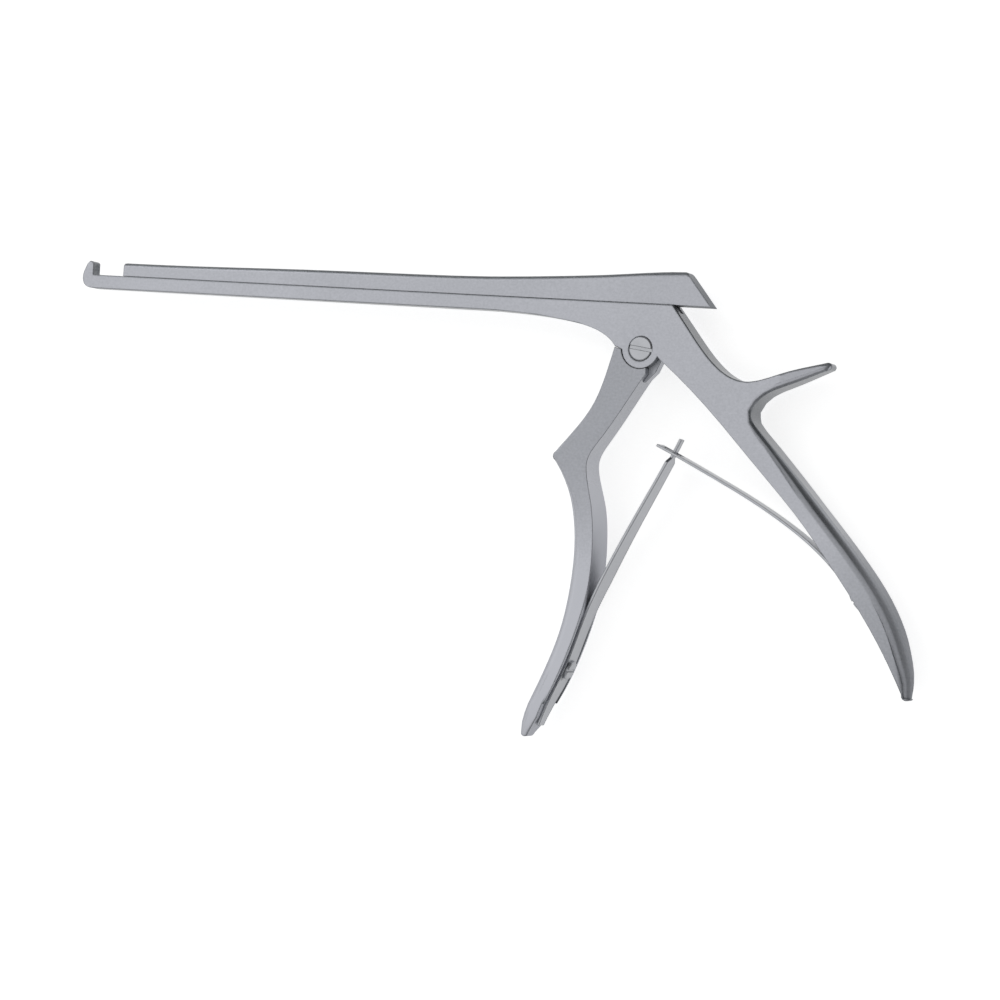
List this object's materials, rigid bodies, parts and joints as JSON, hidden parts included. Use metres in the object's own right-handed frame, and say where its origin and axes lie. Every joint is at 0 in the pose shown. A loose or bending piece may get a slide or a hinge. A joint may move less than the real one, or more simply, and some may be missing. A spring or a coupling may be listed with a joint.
{
  "type": "bone rongeur",
  "caption": "Hand-held bone punch: a long slide over a fixed shaft closes on an upturned footplate when the sprung front lever is squeezed towards the rear handle.",
  "frame": {"origin": "on the surface that the instrument lies on, under the middle of its overall box", "axes": "+X back along the shafts, from the footplate towards the handles; +Y up through the shafts, away from the handles; +Z through the thickness, towards the side with the slotted screw head"},
  "size_m": [0.2644, 0.1328, 0.012],
  "materials": {
    "satin_steel": "fine satin",
    "spring_steel": "polished",
    "screw_steel": "satin, turned"
  },
  "bodies": {
    "frame": {"frame": "satin_steel", "pivot_screw": "screw_steel", "rear_spring": "spring_steel", "rear_spring_screw": "screw_steel"},
    "lever": {"front_lever": "satin_steel", "front_spring": "spring_steel", "front_spring_screw": "screw_steel"},
    "slide": {"slide": "satin_steel"}
  },
  "joints": [
    {"name": "lever_pivot", "type": "hinge", "parent": "frame", "child": "lever", "pos_m": [0.04777, 0.04433, 0.006], "axis": [0, 0, 1], "range_deg": [0, 37], "stiffness_Nm_per_rad": 1, "springref_deg": -17.19, "deforming": ["front_spring", "rear_spring"]},
    {"name": "slide_travel", "type": "slide", "parent": "frame", "child": "slide", "axis": [-1, 0, 0], "range_m": [0, 0.0102]}
  ],
  "couplings": [
    {"joint": "slide_travel", "follows": "lever_pivot", "m_per_rad": 0.01579}
  ]
}
